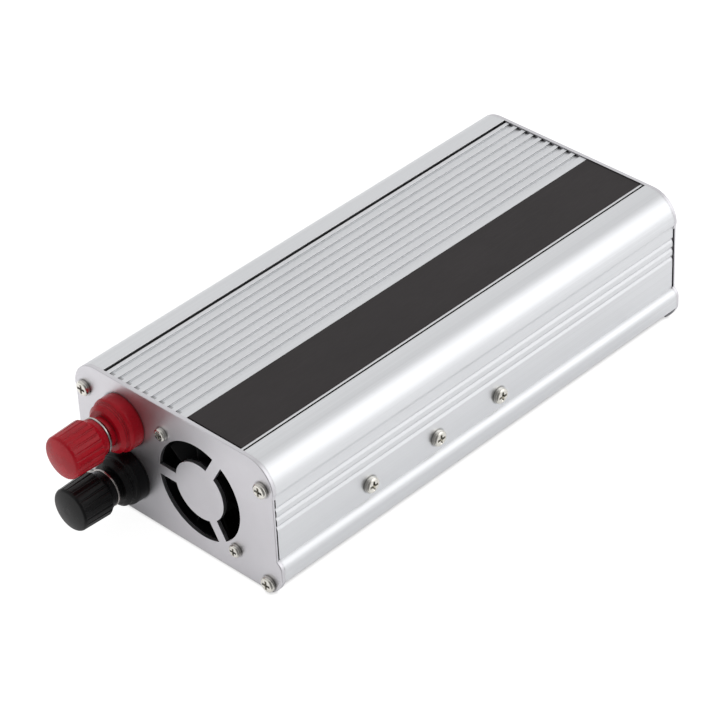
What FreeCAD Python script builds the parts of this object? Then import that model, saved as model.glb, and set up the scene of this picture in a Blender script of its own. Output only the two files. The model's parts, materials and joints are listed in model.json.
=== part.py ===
"""Power inverter: a small DC-to-AC converter in a slide-together aluminium case.

Frame: +Z up, +Y along the case towards the AC outlet end, +X to the right seen from the battery end.
The origin is the centre of the case's flat underside. Millimetres.

The case is a C-shaped extrusion closed by a ribbed lid that slides in under its two rounded shoulders.
A plate is screwed on each end. The battery end carries the fan and two screw-down binding posts. The
outlet end carries the AC socket, the rocker switch, a USB port and two indicator lights.
"""

import FreeCAD
import Part

import math
import os

V = FreeCAD.Vector

# ---- Driving dimensions -------------------------------------------------------------------------

CASE_LENGTH = 200.0  # the extrusions; each end plate adds its own thickness
PLATE = 1.5  # end plate sheet
WALL = 2.2  # extrusion wall
WALL_X = 46.2  # outside of the flat side walls
FOOT_X = 48.4  # outside of the feet that run along the bottom edges
TOP_Z = 53.0  # crown of the shoulders
SHOULDER_R = 10.8
SHOULDER_X = 36.0  # centre of the shoulder's arc
SHOULDER_Z = TOP_Z - SHOULDER_R
OPENING_X = 33.2  # half width of the opening between the shoulders

LID_X = 32.2  # half width of the lid's visible face
LID_Z = 52.6
LID_T = 2.2
RIB_PITCH = 3.95
RIB_GROOVES = 9
RIB_GROOVE_W = 2.2
RIB_GROOVE_DEEP = 0.7
FIRST_GROOVE_X = -29.6
STRIP_X = (6.2, 31.3)  # the dark decorative strip
STRIP_SUNK = 0.4
STRIP_T = 0.5
STRIP_END_GAP = 0.8  # the strip stops short of the battery-end plate

CORNER_TOP = (41.8, 42.5)  # plate screws, x and z
CORNER_LOW = (42.3, 3.7)
M3_SHANK = 1.45
M3_CLEAR = 1.7
CLAMP_YS = (-57.1, -24.2, 6.9)  # screws through each side wall
CLAMP_Z = 20.2

FAN_X, FAN_Z = 11.5, 25.7
FAN_SIZE = 40.0
FAN_DEEP = 10.0
FAN_SCREW = 16.0  # half of the 32 mm hole square
GRILLE_R = 18.9
GRILLE_HUB_R = 11.2
SPOKE_W = 4.0

POST_X = -23.5  # both binding posts
POST_ZS = {"red": 38.0, "black": 15.5}
POST_OPEN = {"red": 1.0, "black": 0.0}  # how far each cap stands unscrewed
POST_PITCH = 1.0  # M6 coarse thread
STUD_R = 3.0

SOCKET_X, SOCKET_Z = 19.4, 26.5
SOCKET_SIZE = 39.0
SWITCH_X, SWITCH_Z = -30.5, 26.5
SWITCH_TILT = 10.0  # rocker angle from level, either way
USB_X, USB_Z = -12.5, 19.0
LED_Z = 35.0
LED_XS = {"power_led": -17.0, "fault_led": -8.0}

PCB_Z = 9.0  # underside of the main board
PCB_T = 1.6
PCB_X = 43.8
PCB_YS = (-84.0, 72.0)

HALF = CASE_LENGTH / 2
DC_FACE = -HALF - PLATE  # outside of the battery-end plate
AC_FACE = HALF + PLATE  # outside of the outlet-end plate
WALL_INNER_X = WALL_X - WALL
BOARD_TOP = PCB_Z + PCB_T

X_AXIS, Y_AXIS, Z_AXIS = V(1, 0, 0), V(0, 1, 0), V(0, 0, 1)
OUT_DC, OUT_AC = V(0, -1, 0), V(0, 1, 0)


# ---- Small tools --------------------------------------------------------------------------------


def save(name, *shapes):
    solids = [solid for shape in shapes for solid in shape.Solids]
    Part.makeCompound(solids).exportStep(f"parts/{name}.step")


def box(x0, x1, y0, y1, z0, z1):
    return Part.makeBox(x1 - x0, y1 - y0, z1 - z0, V(x0, y0, z0))


def rod(radius, start, end):
    return Part.makeCylinder(radius, (end - start).Length, start, end - start)


def y_rod(radius, x, z, y0, y1):
    return rod(radius, V(x, y0, z), V(x, y1, z))


def y_tube(outer, inner, x, z, y0, y1):
    return y_rod(outer, x, z, y0, y1).cut(y_rod(inner, x, z, y0, y1))


def aimed(shape, position, direction):
    """A copy of a shape drawn along +Z at the origin, moved to position and turned to direction."""
    moved = shape.copy()
    moved.Placement = FreeCAD.Placement(position, FreeCAD.Rotation(Z_AXIS, direction))
    return moved


def mirrored(shape):
    return shape.mirror(V(0, 0, 0), X_AXIS)


def outline(start, *steps):
    """A closed wire in the XZ plane. A step is an end point, or (a point on the arc, its end point)."""
    edges = []
    here = V(start[0], 0, start[1])
    for step in list(steps) + [start]:
        if isinstance(step[0], tuple):
            middle = V(step[0][0], 0, step[0][1])
            there = V(step[1][0], 0, step[1][1])
            edges.append(Part.Arc(here, middle, there).toShape())
        else:
            there = V(step[0], 0, step[1])
            if there.distanceToPoint(here) > 1e-6:
                edges.append(Part.makeLine(here, there))
        here = there
    return Part.Wire(edges)


def prism(wire, y0, y1):
    """An XZ outline pushed along Y."""
    solid = Part.Face(wire).extrude(V(0, y1 - y0, 0))
    solid.translate(V(0, y0, 0))
    return solid


def turned(points):
    """A solid of revolution about Z from (radius, height) points. A point with three values is an arc's
    end, the third being (radius, height) on the arc."""
    edges = []
    here = V(points[0][0], 0, points[0][1])
    for point in points[1:] + points[:1]:
        there = V(point[0], 0, point[1])
        if len(point) == 3:
            edges.append(Part.Arc(here, V(point[2][0], 0, point[2][1]), there).toShape())
        elif there.distanceToPoint(here) > 1e-6:
            edges.append(Part.makeLine(here, there))
        here = there
    return Part.Face(Part.Wire(edges)).revolve(V(0, 0, 0), Z_AXIS, 360)


def arc_point(centre_x, centre_z, radius, degrees):
    angle = math.radians(degrees)
    return (centre_x + radius * math.cos(angle), centre_z + radius * math.sin(angle))


def rounded_box(x0, x1, y0, y1, z0, z1, radius):
    """A box with its four edges along Y rounded."""
    solid = box(x0, x1, y0, y1, z0, z1)
    edges = [e for e in solid.Edges if abs(e.tangentAt(e.FirstParameter).y) > 0.99]
    return solid.makeFillet(radius, edges)


def upright_rounded(x0, x1, y0, y1, z0, z1, radius):
    """A box with its four upright edges rounded."""
    solid = box(x0, x1, y0, y1, z0, z1)
    edges = [e for e in solid.Edges if abs(e.tangentAt(e.FirstParameter).z) > 0.99]
    return solid.makeFillet(radius, edges)


def cable(radius, lead, points, start_way, end_way):
    """A round wire through points, straight for a length lead at each end."""
    bend_start = points[0] + start_way * lead
    bend_end = points[-1] - end_way * lead
    curve = Part.BSplineCurve()
    curve.interpolate(Points=[bend_start] + points[1:-1] + [bend_end],
                      InitialTangent=start_way, FinalTangent=end_way)
    path = Part.Wire([Part.makeLine(points[0], bend_start), curve.toShape(),
                      Part.makeLine(bend_end, points[-1])])
    ring = Part.Wire([Part.makeCircle(radius, points[0], start_way)])
    return path.makePipeShell([ring], True, True)


def level_rectangle(half_x, half_y, z):
    """A closed rectangle round the Z axis."""
    return Part.makePolygon([V(-half_x, -half_y, z), V(half_x, -half_y, z), V(half_x, half_y, z),
                             V(-half_x, half_y, z), V(-half_x, -half_y, z)])


def pan_screw(head_r, head_h, shank_r, shank_length):
    """A cross-recess pan-head screw: head above z = 0, shank below, with a chamfered tip."""
    flat_r = head_r * 0.62
    head = turned([(0, 0), (head_r, 0), (head_r, head_h * 0.45),
                   (flat_r, head_h, (head_r * 0.93, head_h * 0.82)), (0, head_h)])
    shank = turned([(0, 0), (0, -shank_length), (shank_r * 0.6, -shank_length),
                    (shank_r, -shank_length + shank_r * 0.5), (shank_r, 0)])
    slot_l, slot_w, slot_floor = head_r * 0.62, head_r * 0.16, head_h * 0.38
    for along, across in ((slot_l, slot_w), (slot_w, slot_l)):
        bottom = level_rectangle(along * 0.45, across * 0.8, slot_floor)
        top = level_rectangle(along, across, head_h)
        head = head.cut(Part.makeLoft([bottom, top], True))
    return head.fuse(shank).removeSplitter()


def hex_nut(across_flats, height, bore_r):
    """A hexagon nut standing on z = 0."""
    corner = across_flats / math.sqrt(3)
    ring = [V(corner * math.cos(math.radians(60 * k)), corner * math.sin(math.radians(60 * k)), 0)
            for k in range(7)]
    body = Part.Face(Part.makePolygon(ring)).extrude(V(0, 0, height))
    crown = turned([(0, 0), (corner * 0.9, 0), (corner * 1.01, height * 0.22),
                    (corner * 1.01, height * 0.78), (corner * 0.9, height), (0, height)])
    return body.common(crown).cut(Part.makeCylinder(bore_r, height))


# ---- Case ---------------------------------------------------------------------------------------

FOOT_TOP_Z = 14.4
SIDE_GROOVES = (26.8, 30.6, 34.4)  # lower edge of each groove in the side wall
SIDE_GROOVE_W = 2.1
SIDE_GROOVE_DEEP = 0.45
FLANGE_UNDER_Z = TOP_Z - WALL
SLOT_FLOOR_Z = 49.0  # floor of the slot that holds the lid's tongue
SLOT_END_X = 35.7
RAIL_REACH = 2.0
HOUSING_FOOT = [(42.2, 0), ((45.5, 3.2), (FOOT_X, 6.7))]  # underside round to the outside of the foot
PLATE_FOOT = [(43.2, 0), ((46.3, 2.9), (FOOT_X, 6.9))]
PLATE_INSET = 0.2
PLATE_ROUND = 0.3
SEAM = 0.7  # rebate in each end plate's inner rim, which leaves a gap beside the straight side walls
SEAM_ZS = (14.8, 40.0)


def side_outline(foot, wall_x, grooves):
    """Steps up the right side, from the underside to the crown of the shoulder."""
    steps = foot + [(FOOT_X, 10.9), ((47.9, 12.9), (wall_x, FOOT_TOP_Z))]
    for low in grooves:
        floor_x = wall_x - SIDE_GROOVE_DEEP
        steps += [(wall_x, low), (floor_x, low + SIDE_GROOVE_W * 0.5),
                  (floor_x, low + SIDE_GROOVE_W * 0.6), (wall_x, low + SIDE_GROOVE_W)]
    steps += [(wall_x, 40.6), (SHOULDER_X + SHOULDER_R, SHOULDER_Z)]
    steps += [(arc_point(SHOULDER_X, SHOULDER_Z, SHOULDER_R, 45), (SHOULDER_X, TOP_Z))]
    return steps


def housing_half():
    inner_r = SHOULDER_R - WALL
    side = side_outline(HOUSING_FOOT, WALL_X, SIDE_GROOVES)
    outer = prism(outline((0, 0), *side, (OPENING_X, TOP_Z), (OPENING_X, 51.2), (0, 51.2)), -HALF, HALF)
    cavity = prism(outline((-1, WALL), (WALL_INNER_X, WALL), (WALL_INNER_X, SHOULDER_Z),
                           (arc_point(SHOULDER_X, SHOULDER_Z, inner_r, 40), (SHOULDER_X, FLANGE_UNDER_Z)),
                           (OPENING_X, FLANGE_UNDER_Z), (OPENING_X, 52), (-1, 52)), -HALF, HALF)
    solid = outer.cut(cavity)
    skin = prism(outline((0, 0), *side, (OPENING_X, TOP_Z), (OPENING_X, 0)), -HALF, HALF)
    added = [
        y_rod(3.3, *CORNER_LOW, -HALF, HALF),
        y_rod(3.2, *CORNER_TOP, -HALF, HALF),
        box(39.2, WALL_X, -HALF, HALF, 1.0, 4.4),
        box(SLOT_END_X, 46, -HALF, HALF, 46.0, FLANGE_UNDER_Z + 0.4),
        box(OPENING_X, 40, -HALF, HALF, 47.2, SLOT_FLOOR_Z),
    ]
    for low, high in ((7.4, PCB_Z - 0.1), (BOARD_TOP + 0.1, BOARD_TOP + 1.4)):
        added.append(box(WALL_INNER_X - RAIL_REACH, WALL_X - 1, -HALF, HALF, low, high))
    solid = solid.fuse([piece.common(skin) for piece in added])
    for x, z in (CORNER_TOP, CORNER_LOW):
        solid = solid.cut(y_rod(M3_SHANK + 0.05, x, z, -HALF, HALF))
    for y in CLAMP_YS:
        solid = solid.cut(rod(M3_CLEAR, V(30, y, CLAMP_Z), V(60, y, CLAMP_Z)))
    return solid


def make_housing():
    half = housing_half()
    save("housing_body", half.fuse(mirrored(half)).removeSplitter())


def make_lid():
    """The ribbed lid, with a tongue under each shoulder and a shallow seat for the dark strip."""
    tongue_reach = SLOT_END_X - 0.3
    tongue_top = FLANGE_UNDER_Z - 0.2
    solid = box(-LID_X, LID_X, -HALF, HALF, LID_Z - LID_T, LID_Z)
    for side in (-1, 1):
        x0, x1 = sorted((side * 30.4, side * tongue_reach))
        solid = solid.fuse(box(x0, x1, -HALF, HALF, SLOT_FLOOR_Z + 0.1, tongue_top))
    low = LID_Z - RIB_GROOVE_DEEP
    soft = 0.2
    for k in range(RIB_GROOVES):
        x0 = FIRST_GROOVE_X + k * RIB_PITCH - RIB_GROOVE_W / 2
        x1 = x0 + RIB_GROOVE_W
        groove = outline((x0, LID_Z + 1), (x0, low + soft),
                         (arc_point(x0 + soft, low + soft, soft, 225), (x0 + soft, low)), (x1 - soft, low),
                         (arc_point(x1 - soft, low + soft, soft, 315), (x1, low + soft)), (x1, LID_Z + 1))
        solid = solid.cut(prism(groove, -HALF, HALF))
    solid = solid.cut(box(*STRIP_X, -HALF, HALF, LID_Z - STRIP_SUNK, LID_Z + 1))
    save("top_lid", solid.removeSplitter())
    gap = 0.1
    floor = LID_Z - STRIP_SUNK
    x0, x1 = STRIP_X[0] + gap, STRIP_X[1] - gap
    strip = box(x0, x1, -HALF + STRIP_END_GAP, HALF - gap, floor, floor + STRIP_T)
    crown = [e for e in strip.Edges if e.BoundBox.ZMin > floor + STRIP_T - 1e-3]
    save("decor_strip", strip.makeChamfer(0.12, crown))


def rim_edges(solid, y):
    return [e for e in solid.Edges if abs(e.BoundBox.YMin - y) < 1e-4 and abs(e.BoundBox.YMax - y) < 1e-4]


def plate_blank(y0, y1):
    """An end plate: the case's outline without its grooves, clear of the bench by PLATE_INSET."""
    half = prism(outline((0, 0), *side_outline(PLATE_FOOT, WALL_X + 0.2, []), (0, TOP_Z)), y0, y1)
    solid = half.fuse(mirrored(half)).removeSplitter()
    solid = solid.cut(box(-60, 60, y0, y1, -1, PLATE_INSET))
    outside, inside = (y0, y1) if y0 < 0 else (y1, y0)
    rim = Part.Face(Part.Wire(Part.__sortEdges__(rim_edges(solid, inside))))
    step = math.copysign(SEAM, outside - inside)
    rebate = rim.extrude(V(0, step, 0)).cut(rim.makeOffset2D(-SEAM).extrude(V(0, step, 0)))
    beside_walls = box(-60, 60, y0, y1, *SEAM_ZS).cut(box(-WALL_INNER_X, WALL_INNER_X, y0, y1, *SEAM_ZS))
    solid = solid.cut(rebate.common(beside_walls))
    solid = solid.makeFillet(PLATE_ROUND, rim_edges(solid, outside))
    for x, z in (CORNER_TOP, CORNER_LOW):
        for side in (-1, 1):
            solid = solid.cut(y_rod(M3_CLEAR, side * x, z, y0, y1))
    return solid


def make_dc_plate():
    y0, y1 = DC_FACE, -HALF
    solid = plate_blank(y0, y1)
    ring = y_tube(GRILLE_R, GRILLE_HUB_R, FAN_X, FAN_Z, y0, y1)
    spoke = box(0, GRILLE_R + 2, y0, y1, -SPOKE_W / 2, SPOKE_W / 2)
    for degrees in (60, 180, 300):
        arm = spoke.copy()
        arm.rotate(V(0, 0, 0), Y_AXIS, -degrees)
        arm.translate(V(FAN_X, 0, FAN_Z))
        ring = ring.cut(arm)
    solid = solid.cut(ring)
    for side in (-1, 1):
        solid = solid.cut(y_rod(M3_CLEAR, FAN_X + side * FAN_SCREW, FAN_Z - side * FAN_SCREW, y0, y1))
    for z in POST_ZS.values():
        solid = solid.cut(y_rod(POST_SPIGOT_R + 0.2, POST_X, z, y0, y1))
    save("dc_end_plate", solid)


def make_ac_plate():
    y0, y1 = HALF, AC_FACE
    solid = plate_blank(y0, y1)
    opening = SOCKET_SIZE / 2 - 1.8
    solid = solid.cut(box(SOCKET_X - opening, SOCKET_X + opening, y0, y1,
                          SOCKET_Z - opening, SOCKET_Z + opening))
    solid = solid.cut(box(SWITCH_X - SWITCH_OPEN_X, SWITCH_X + SWITCH_OPEN_X, y0, y1,
                          SWITCH_Z - SWITCH_OPEN_Z, SWITCH_Z + SWITCH_OPEN_Z))
    solid = solid.cut(box(USB_X - USB_W / 2 - 0.2, USB_X + USB_W / 2 + 0.2, y0, y1,
                          USB_Z - USB_H / 2 - 0.2, USB_Z + USB_H / 2 + 0.2))
    for x in LED_XS.values():
        solid = solid.cut(y_rod(LED_R + 0.1, x, LED_Z, y0, y1))
    save("ac_end_plate", solid)


def make_plate_screws():
    """Four self-tapping screws in each end plate."""
    screw = pan_screw(2.85, 1.9, M3_SHANK, 10.0)
    places = [(side * x, z) for side in (-1, 1) for x, z in (CORNER_TOP, CORNER_LOW)]
    screws = [aimed(screw, V(x, DC_FACE, z), OUT_DC) for x, z in places]
    screws += [aimed(screw, V(x, AC_FACE, z), OUT_AC) for x, z in places]
    save("end_plate_screws", *screws)


# ---- Heat clamps along the side walls -----------------------------------------------------------

PAD_T = 0.3
TAB_T = 1.3
BODY_T = 3.2
BAR_T = 1.2
PACKAGE_SPREAD = 8.0  # each screw holds a transistor this far to either side of it
PAD_OUT_X = WALL_INNER_X
TAB_OUT_X = PAD_OUT_X - PAD_T
BODY_OUT_X = TAB_OUT_X - TAB_T
BAR_OUT_X = BODY_OUT_X - BODY_T
NUT_OUT_X = BAR_OUT_X - BAR_T
NUT_T = 2.4
PACKAGE_LOW_Z = 14.5
EPOXY_H = 9.2
TAB_H = 15.6


def save_both_sides(name, pieces):
    """The right-hand pieces and their mirror images on the left."""
    save(name, *pieces, *[mirrored(piece) for piece in pieces])


def make_heat_clamps():
    screw = pan_screw(3.0, 2.0, M3_SHANK, WALL_X - NUT_OUT_X + NUT_T + 0.8)
    save_both_sides("clamp_screws", [aimed(screw, V(WALL_X, y, CLAMP_Z), X_AXIS) for y in CLAMP_YS])
    bars = []
    for y in CLAMP_YS:
        bar = box(NUT_OUT_X, BAR_OUT_X, y - 13.0, y + 13.0, CLAMP_Z - 4.0, CLAMP_Z + 3.0)
        corners = [e for e in bar.Edges if abs(e.tangentAt(e.FirstParameter).x) > 0.99]
        bar = bar.makeFillet(1.5, corners)
        bars.append(bar.cut(rod(M3_CLEAR, V(30, y, CLAMP_Z), V(50, y, CLAMP_Z))))
    save_both_sides("clamp_bars", bars)
    pad = box(TAB_OUT_X, PAD_OUT_X, CLAMP_YS[0] - 16, CLAMP_YS[-1] + 16, 13.4, 31.5)
    for y in CLAMP_YS:
        pad = pad.cut(rod(M3_CLEAR, V(40, y, CLAMP_Z), V(50, y, CLAMP_Z)))
    save_both_sides("thermal_pads", [pad])


def transistor(y):
    """The copper frame (tab and three legs) and the moulded body of one upright transistor at y."""
    low = PACKAGE_LOW_Z
    tab = box(BODY_OUT_X, TAB_OUT_X, y - 5.1, y + 5.1, low, low + TAB_H)
    tab = tab.cut(rod(1.85, V(40, y, low + 12.6), V(45, y, low + 12.6)))
    body = box(BAR_OUT_X, BODY_OUT_X, y - 5.0, y + 5.0, low, low + EPOXY_H)
    top_edge = [e for e in body.Edges if e.BoundBox.XMax < BAR_OUT_X + 1e-3 and e.BoundBox.ZMin > low + 1]
    body = body.makeChamfer(0.8, top_edge)
    legs = [box(40.6, 41.2, y + dy - 0.4, y + dy + 0.4, BOARD_TOP, low) for dy in (-2.54, 0, 2.54)]
    return [tab] + legs, body


def make_transistors():
    frames, bodies = [], []
    for screw_y in CLAMP_YS:
        for side in (-1, 1):
            frame, body = transistor(screw_y + side * PACKAGE_SPREAD)
            frames += frame
            bodies.append(body)
    save_both_sides("transistor_frames", frames)
    save_both_sides("transistor_bodies", bodies)


# ---- Fan ----------------------------------------------------------------------------------------

FAN_FRONT = -HALF
FAN_BACK = FAN_FRONT + FAN_DEEP
BORE_R = 19.0
HUB_R = 10.6
BLADE_R = 18.3
BLADES = 7
BOSS_R = 3.0
SHAFT_R = 1.0
STRUT_T = 1.6


def make_fan_frame():
    """A square frame with a round bore, and a motor base on four struts at the inner side."""
    x0, x1 = FAN_X - FAN_SIZE / 2, FAN_X + FAN_SIZE / 2
    z0, z1 = FAN_Z - FAN_SIZE / 2, FAN_Z + FAN_SIZE / 2
    solid = rounded_box(x0, x1, FAN_FRONT, FAN_BACK, z0, z1, 3.0)
    solid = solid.cut(y_rod(BORE_R, FAN_X, FAN_Z, FAN_FRONT, FAN_BACK))
    for side_x in (-1, 1):
        for side_z in (-1, 1):
            solid = solid.cut(y_rod(M3_CLEAR, FAN_X + side_x * FAN_SCREW, FAN_Z + side_z * FAN_SCREW,
                                    FAN_FRONT, FAN_BACK))
    base = y_rod(HUB_R, FAN_X, FAN_Z, FAN_BACK - STRUT_T, FAN_BACK)
    boss = y_rod(BOSS_R, FAN_X, FAN_Z, FAN_BACK - 7.0, FAN_BACK)
    struts = []
    for degrees in (20, 110, 200, 290):
        strut = box(HUB_R - 1, BORE_R + 0.5, FAN_BACK - STRUT_T, FAN_BACK, -1.1, 1.1)
        strut.rotate(V(0, 0, 0), Y_AXIS, -degrees)
        strut.translate(V(FAN_X, 0, FAN_Z))
        struts.append(strut)
    solid = solid.fuse([base, boss] + struts)
    solid = solid.cut(y_rod(1.9, FAN_X, FAN_Z, FAN_BACK - 7.0, FAN_BACK - 0.6))
    save("fan_frame", solid.removeSplitter())
    bearing = y_tube(1.9, SHAFT_R + 0.03, FAN_X, FAN_Z, FAN_BACK - 7.0, FAN_BACK - 0.6)
    save("fan_bearing", bearing)


def make_fan_stator():
    """The wound core: a four-armed iron stack with a copper coil on each arm."""
    y0, y1 = FAN_BACK - 6.2, FAN_BACK - 2.4
    core = y_tube(4.2, BOSS_R, FAN_X, FAN_Z, y0, y1)
    coils = []
    for k in range(4):
        arm = box(3.6, 8.4, y0, y1, -0.9, 0.9)
        shoe = box(7.4, 8.4, y0, y1, -3.2, 3.2)
        coil = box(4.7, 7.1, y0 - 0.5, y1 + 0.5, -2.3, 2.3).cut(box(4.7, 7.1, y0, y1, -0.9, 0.9))
        for piece in (arm, shoe, coil):
            piece.rotate(V(0, 0, 0), Y_AXIS, 90 * k)
            piece.translate(V(FAN_X, 0, FAN_Z))
        core = core.fuse([arm, shoe])
        coils.append(coil)
    core = core.common(y_tube(8.8, BOSS_R, FAN_X, FAN_Z, y0, y1)).removeSplitter()
    save("fan_stator", core)
    save("fan_coils", *coils)


def fan_blade(degrees):
    """One twisted blade, lofted outward from the hub."""
    sections = []
    for radius, pitch, chord in ((HUB_R - 0.6, 48, 6.8), (14.5, 40, 8.4), (BLADE_R + 1.0, 33, 9.6)):
        across = chord / 2 * math.cos(math.radians(pitch))
        deep = min(chord / 2 * math.sin(math.radians(pitch)), 2.9)
        skew = (radius - HUB_R) * 0.18
        thick = 0.45
        ring = [V(-across + skew, -deep - thick, radius), V(across + skew, deep - thick, radius),
                V(across + skew, deep + thick, radius), V(-across + skew, -deep + thick, radius)]
        sections.append(Part.makePolygon(ring + ring[:1]))
    blade = Part.makeLoft(sections, True, True)
    blade.translate(V(0, ROTOR_MID, 0))
    blade = blade.common(y_rod(BLADE_R, 0, 0, ROTOR_FRONT, ROTOR_BACK))
    blade.rotate(V(0, 0, 0), Y_AXIS, degrees)
    blade.translate(V(FAN_X, 0, FAN_Z))
    return blade


ROTOR_FRONT = FAN_FRONT + 0.7
ROTOR_BACK = FAN_BACK - STRUT_T - 0.5
ROTOR_MID = (ROTOR_FRONT + ROTOR_BACK) / 2
CUP_WALL = 0.8


def make_fan_rotor():
    """Hub cup with its blades, the magnet ring pressed inside it and the shaft in its boss."""
    hub = y_rod(HUB_R, FAN_X, FAN_Z, ROTOR_FRONT, ROTOR_BACK)
    front_rim = [e for e in hub.Edges if e.BoundBox.YMax < ROTOR_FRONT + 1e-3]
    hub = hub.makeFillet(0.7, front_rim)
    hub = hub.cut(y_rod(HUB_R - CUP_WALL, FAN_X, FAN_Z, ROTOR_FRONT + CUP_WALL, ROTOR_BACK))
    hub = hub.fuse(y_rod(2.4, FAN_X, FAN_Z, ROTOR_FRONT + CUP_WALL, ROTOR_FRONT + CUP_WALL + 0.9))
    hub = hub.cut(y_rod(SHAFT_R, FAN_X, FAN_Z, ROTOR_FRONT + 0.5, ROTOR_BACK))
    keep_out = y_rod(HUB_R - CUP_WALL / 2, FAN_X, FAN_Z, ROTOR_FRONT, ROTOR_BACK)
    blades = [fan_blade(k * 360 / BLADES).cut(keep_out) for k in range(BLADES)]
    save("fan_rotor", hub.fuse(blades).removeSplitter())
    magnet_r = HUB_R - CUP_WALL
    save("fan_magnet", y_tube(magnet_r, magnet_r - 0.8, FAN_X, FAN_Z,
                              ROTOR_FRONT + CUP_WALL, ROTOR_BACK - 0.2))
    save("fan_shaft", y_rod(SHAFT_R, FAN_X, FAN_Z, ROTOR_FRONT + 0.5, FAN_BACK - 0.8))


def make_fan_screws_and_nuts():
    """The two fan screws, and every M3 nut: theirs and those of the heat clamps."""
    screw = pan_screw(2.4, 1.8, M3_SHANK, PLATE + FAN_DEEP + 3.2)
    places = [(FAN_X + side * FAN_SCREW, FAN_Z - side * FAN_SCREW) for side in (-1, 1)]
    save("fan_screws", *[aimed(screw, V(x, DC_FACE, z), OUT_DC) for x, z in places])
    nut = hex_nut(5.5, NUT_T, M3_SHANK + 0.05)
    nuts = [aimed(nut, V(x, FAN_BACK, z), Y_AXIS) for x, z in places]
    for y in CLAMP_YS:
        clamp_nut = aimed(nut, V(NUT_OUT_X - NUT_T, y, CLAMP_Z), X_AXIS)
        nuts += [clamp_nut, mirrored(clamp_nut)]
    save("m3_nuts", *nuts)


def make_fan_cable():
    """Two thin wires from the motor base to the board."""
    wires = []
    for k in range(2):
        start = V(FAN_X + 3.0, FAN_BACK, FAN_Z - 6.0 + 1.6 * k)
        middle = V(26.0, FAN_BACK + 4.0, 18.0 + 1.6 * k)
        end = V(32.5 + 1.6 * k, -80.0, BOARD_TOP)
        wires.append(cable(0.6, 0.8, [start, middle, end], Y_AXIS, V(0, 0, -1)))
    save("fan_cable", *wires)


# ---- Binding posts ------------------------------------------------------------------------------

POST_SPIGOT_R = 5.0
COLLAR_R, COLLAR_FRONT_R = 10.0, 9.0
COLLAR_STEP, COLLAR_BEVEL, COLLAR_END = 5.4, 7.1, 8.3  # ends of the main ring, front ring and bevel
COLLAR_GROOVES = (5.8, 6.6)
POST_BOSS_R, POST_BOSS_END = 5.6, 10.3
WASHER_R, WASHER_T = 6.9, 0.8
WASHER_AT = POST_BOSS_END + 0.1
CAP_FOOT = WASHER_AT + WASHER_T + 0.1
CAP_FOOT_R = 6.6
GRIP_R, GRIP_TIP_R = 8.3, 7.95
GRIP_START, GRIP_END = 15.1, 25.7
CAP_RIM_R, CAP_RIM_AT = 6.9, 27.1  # where the grip's rounded rim meets the low dome of the end
CAP_END = 27.9
FLUTES, FLUTE_R = 22, 0.5
THREAD_GAP = 0.05
STUD_END = CAP_END - 2.6
WIRE_HOLE_AT, WIRE_HOLE_R = 12.4, 1.3
INSERT_R, INSERT_DEEP = 4.6, 9.0
STUD_INSIDE = -13.0  # inner end of the stud, from the plate's outside
THREAD_DEEP = 0.35
INSULATOR_R, INSULATOR_T = 8.0, 2.0
POST_NUT_AF, POST_NUT_T = 10.0, 5.0
LUG_RING_R, LUG_T, LUG_REACH = 6.2, 1.0, 10.0
LUG_BARREL_R, LUG_BARREL_L = 2.9, 8.0
LUG_TAIL_FROM, LUG_TAIL_W = 5.5, 5.2
CABLE_R = 2.15
TAB_W, TAB_THICK = 7.0, 1.5


def post_aim(shape, z, out=0.0):
    """A shape drawn along +Z from the plate outward, put on one of the posts."""
    return aimed(shape, V(POST_X, DC_FACE - out, z), OUT_DC)


def post_collar():
    """The moulded collar: round-shouldered main ring, grooved and bevelled front ring, boss and spigot."""
    profile = [(0, -PLATE), (POST_SPIGOT_R, -PLATE), (POST_SPIGOT_R, 0), (COLLAR_R, 0),
               (COLLAR_R, COLLAR_STEP - 1.3),
               (COLLAR_FRONT_R, COLLAR_STEP, (COLLAR_R - 0.3, COLLAR_STEP - 0.45))]
    for start in COLLAR_GROOVES:
        profile += [(COLLAR_FRONT_R, start), (COLLAR_FRONT_R - 0.2, start + 0.15),
                    (COLLAR_FRONT_R, start + 0.3)]
    profile += [(COLLAR_FRONT_R, COLLAR_BEVEL), (COLLAR_FRONT_R - 1.4, COLLAR_END),
                (POST_BOSS_R, COLLAR_END), (POST_BOSS_R, POST_BOSS_END), (0, POST_BOSS_END)]
    solid = turned(profile)
    return solid.cut(Part.makeCylinder(STUD_R, POST_BOSS_END + PLATE, V(0, 0, -PLATE)))


def post_cap():
    """The fluted cap: a neck that flares to the grip, a rounded rim and a low domed end, hollow inside."""
    solid = turned([(0, CAP_FOOT), (CAP_FOOT_R, CAP_FOOT), (CAP_FOOT_R + 0.5, CAP_FOOT + 1.9),
                    (GRIP_R - 0.3, GRIP_START - 0.4), (GRIP_R, GRIP_START), (GRIP_TIP_R, GRIP_END),
                    (CAP_RIM_R, CAP_RIM_AT, (GRIP_TIP_R - 0.3, CAP_RIM_AT - 0.4)),
                    (1.5, CAP_END, (CAP_RIM_R * 0.6, CAP_END - 0.25)), (0, CAP_END)])
    for k in range(FLUTES):
        angle = 2 * math.pi * k / FLUTES
        out = V(math.cos(angle), math.sin(angle), 0)
        start = out * (GRIP_R + 0.12) + V(0, 0, GRIP_START - 2.5)
        end = out * (GRIP_TIP_R + 0.32) + V(0, 0, CAP_END)
        solid = solid.cut(rod(FLUTE_R, start, end))
    solid = solid.cut(Part.makeCylinder(INSERT_R, INSERT_DEEP, V(0, 0, CAP_FOOT)))
    return solid.cut(Part.makeCylinder(STUD_R + 0.4, STUD_END + 0.6 - CAP_FOOT, V(0, 0, CAP_FOOT)))


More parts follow.
